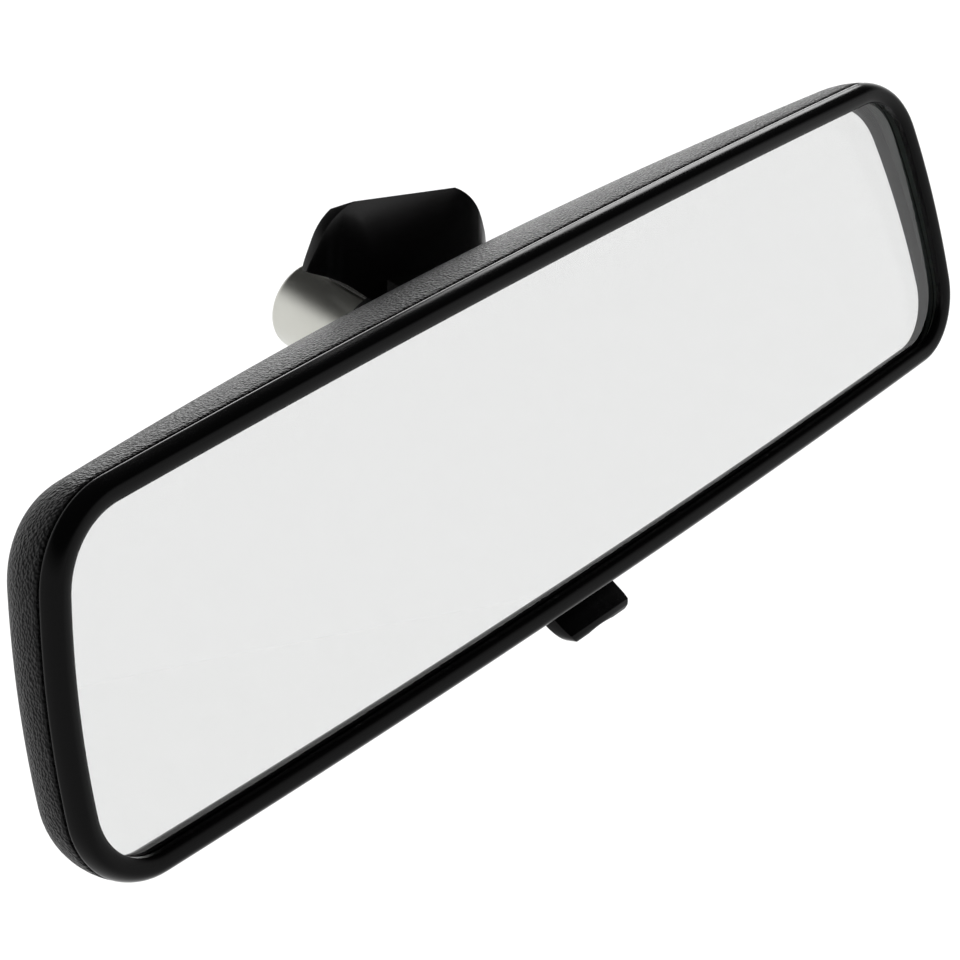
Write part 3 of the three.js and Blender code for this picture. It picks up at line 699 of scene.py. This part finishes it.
CARRIED_OVER = {
    STEEL: [
        "button_clip", "ball_stud", "stud_spring", "stud_washer", "stud_nut", "pressure_ring",
        "retainer_screw_1", "retainer_screw_2", "retainer_screw_3", "tilt_pin_left",
        "tilt_pin_right", "lever_pin", "detent_spring",
    ],
    NYLON: ["stud_bush", "socket_liner"],
    INNER: ["toggle_bracket"],
    FILM: ["backing_film"],
    FOAM: ["foam_pad"],
}
for material, names in CARRIED_OVER.items():
    for name in names:
        for slot in frame["nodes"][name].material_slots:
            slot.material = material

# ---------- studio ----------

CAMERA_FROM_BALL = Vector((-0.3444, -0.3595, 0.1183))
CAMERA_FORWARD = Vector((0.6672, 0.6994, -0.2563))
CAMERA_UP = Vector((0.1716, 0.1905, 0.9666))
CAMERA_LENS = 102.4
SENSOR_WIDTH = 36.0
CLIP_START = 0.02
CLIP_END = 100.0

FLOOR_HALF = 200.0  # metres, so it looks endless
FLOOR_DROP = 0.3  # below the object

HORIZON = 0.25  # the world is white up to this height on the unit sphere
OVERHEAD = 0.6  # and dark from this height up
DARK_SKY = 0.04
WORLD_STRENGTH = 1.14


def camera():
    """The photographer's eye, in front of the mirror, left of it and above it."""
    data = bpy.data.cameras.new("camera")
    data.lens = CAMERA_LENS
    data.sensor_width = SENSOR_WIDTH
    data.clip_start = CLIP_START
    data.clip_end = CLIP_END
    eye = bpy.data.objects.new("camera", data)
    back = -CAMERA_FORWARD.normalized()
    right = CAMERA_UP.cross(back).normalized()
    up = back.cross(right)
    turn = Matrix((right, up, back)).transposed().to_4x4()
    eye.matrix_world = Matrix.Translation(BALL + CAMERA_FROM_BALL) @ turn
    bpy.context.scene.collection.objects.link(eye)
    bpy.context.scene.camera = eye


def floor():
    """A pale floor well below the mirror, which hangs from the windscreen."""
    height = cad_box[0].z - FLOOR_DROP
    corners = [(-1, -1), (1, -1), (1, 1), (-1, 1)]
    verts = [(x * FLOOR_HALF, y * FLOOR_HALF, height) for x, y in corners]
    piece = mesh_object("floor", verts, [(0, 1, 2, 3)])
    m = Nodes("floor_paint", (0.86, 0.86, 0.86), 0.9, specular=0.1)
    m.set("Base Color", m.mix(m.noise(2.0, 2.0), (0.85, 0.85, 0.85), (0.87, 0.87, 0.87)))
    piece.data.materials.append(m.material)


def soft_light(name, direction, strength, spread, glossy=True):
    """A distant softbox that spreads over some degrees: direction points to the light."""
    data = bpy.data.lights.new(name, "SUN")
    data.energy = strength
    data.angle = math.radians(spread)
    lamp = bpy.data.objects.new(name, data)
    lamp.rotation_mode = "QUATERNION"
    lamp.rotation_quaternion = Vector(direction).to_track_quat("Z", "Y")
    lamp.visible_glossy = glossy
    bpy.context.scene.collection.objects.link(lamp)


def world():
    """Pale at the horizon and darker overhead, like a white sweep under a studio ceiling."""
    sky = bpy.data.worlds.new("studio")
    bpy.context.scene.world = sky
    sky.use_nodes = True
    tree = sky.node_tree
    place = tree.nodes.new("ShaderNodeTexCoord").outputs["Generated"]
    split = tree.nodes.new("ShaderNodeSeparateXYZ")
    ramp = tree.nodes.new("ShaderNodeValToRGB")
    tree.links.new(place, split.inputs[0])
    tree.links.new(split.outputs["Z"], ramp.inputs["Fac"])
    stops = ramp.color_ramp.elements
    stops[0].position = HORIZON
    stops[0].color = (1.0, 1.0, 1.0, 1.0)
    stops[1].position = OVERHEAD
    stops[1].color = (DARK_SKY, DARK_SKY, DARK_SKY, 1.0)
    tree.links.new(ramp.outputs["Color"], tree.nodes["Background"].inputs["Color"])
    tree.nodes["Background"].inputs["Strength"].default_value = WORLD_STRENGTH


camera()
floor()
world()
# All three lights stand ahead of the mirror and on its right. The fill shows in no reflection.
soft_light("fill", (0.45, 0.5, 0.8), strength=4.1, spread=30.0, glossy=False)
soft_light("strip", (0.62, 0.55, 0.56), strength=0.3, spread=14.0)
soft_light("back", (0.58, 0.78, 0.22), strength=0.45, spread=25.0)
bpy.context.scene.view_settings.view_transform = "Standard"
